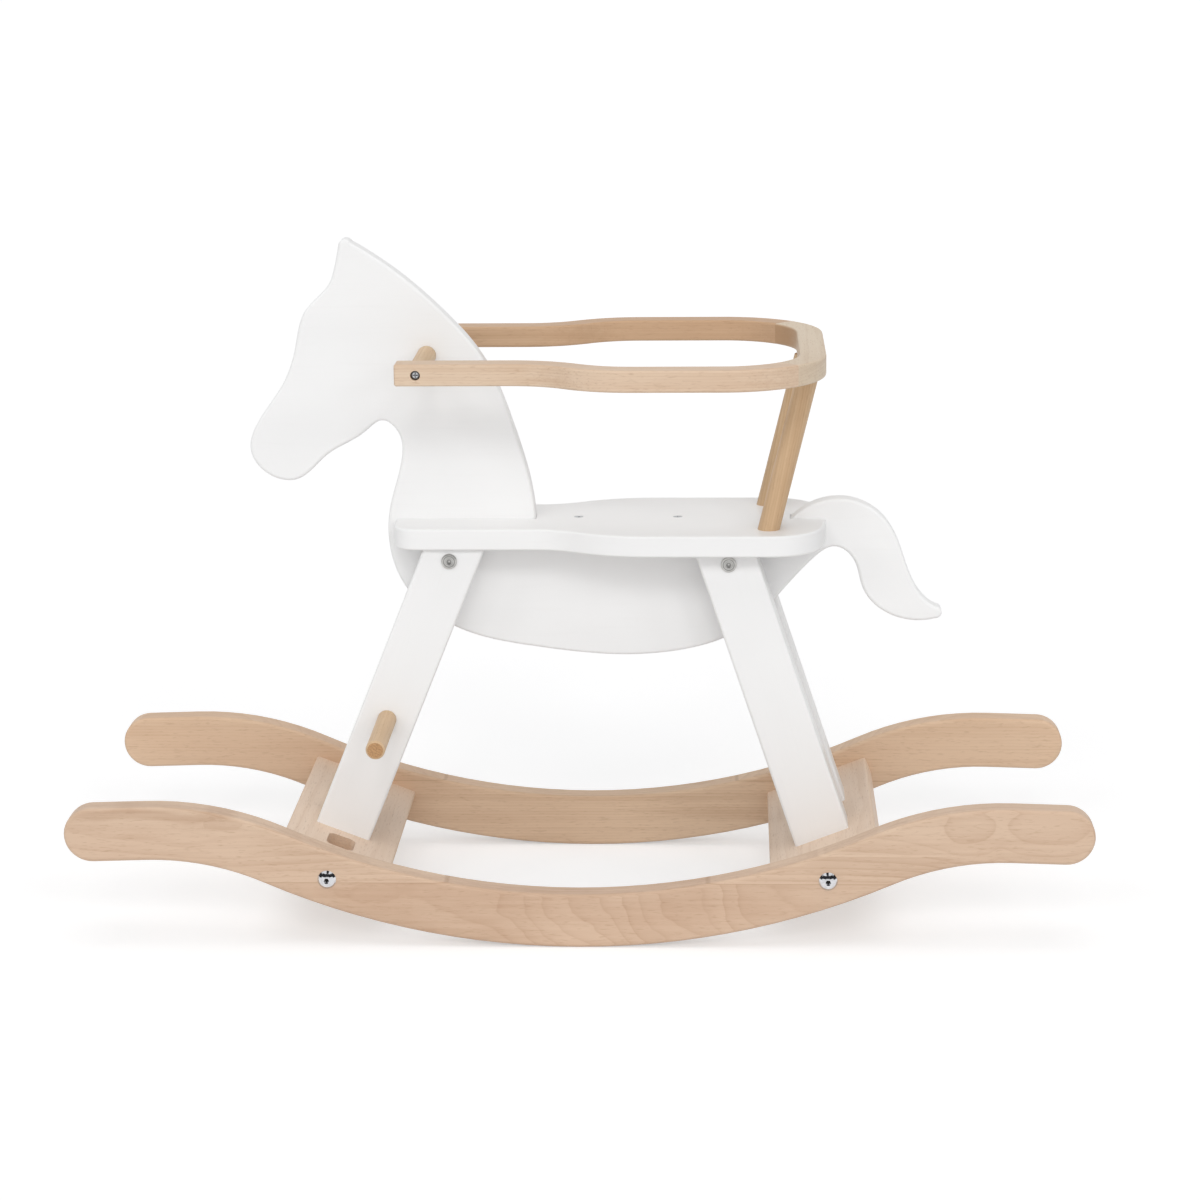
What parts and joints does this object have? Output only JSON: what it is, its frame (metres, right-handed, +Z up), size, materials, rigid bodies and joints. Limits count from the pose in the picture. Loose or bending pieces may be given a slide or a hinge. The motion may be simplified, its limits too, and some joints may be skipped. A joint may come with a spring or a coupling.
{
  "type": "rocking horse",
  "caption": "Wooden toddler rocking horse: flat silhouette body on splayed legs and curved rockers, seat board, guard ring round the rider, handle and footrest bars.",
  "frame": {"origin": "on the floor, midway between the rockers and midway along them", "axes": "+X towards the tail, -X towards the head, +Y to the rider's right, +Z up"},
  "size_m": [0.85, 0.3, 0.5716],
  "materials": {
    "white_lacquered_wood": "satin white lacquer",
    "oiled_beech": "satin clear lacquer on pale beech",
    "birch_dowel": "bare",
    "chrome_steel": "polished chrome plate",
    "nickel_steel": "satin nickel plate",
    "zinc_steel": "bright zinc plate"
  },
  "bodies": {
    "root": {"horse_board": "white_lacquered_wood", "seat_board": "white_lacquered_wood", "front_leg_left": "white_lacquered_wood", "front_leg_right": "white_lacquered_wood", "rear_leg_left": "white_lacquered_wood", "rear_leg_right": "white_lacquered_wood", "rear_spacer_left": "white_lacquered_wood", "rear_spacer_right": "white_lacquered_wood", "rocker_left": "oiled_beech", "rocker_right": "oiled_beech", "front_cross_board": "oiled_beech", "rear_cross_board": "oiled_beech", "ring_arm_left": "oiled_beech", "ring_arm_right": "oiled_beech", "ring_rear_bar": "oiled_beech", "ring_post_left": "oiled_beech", "ring_post_right": "oiled_beech", "handle_dowel": "oiled_beech", "footrest_dowel": "oiled_beech", "rocker_dowels": "birch_dowel", "ring_joint_dowels": "birch_dowel", "post_dowels": "birch_dowel", "rocker_bolts": "chrome_steel", "front_leg_bolt": "nickel_steel", "rear_leg_bolt": "nickel_steel", "front_leg_sleeve_nut": "nickel_steel", "rear_leg_sleeve_nut": "nickel_steel", "rocker_washers": "zinc_steel", "rocker_nuts": "zinc_steel", "foot_screws": "zinc_steel", "seat_screws": "zinc_steel", "handle_screws": "zinc_steel", "post_screws": "zinc_steel"}
  },
  "joints": []
}
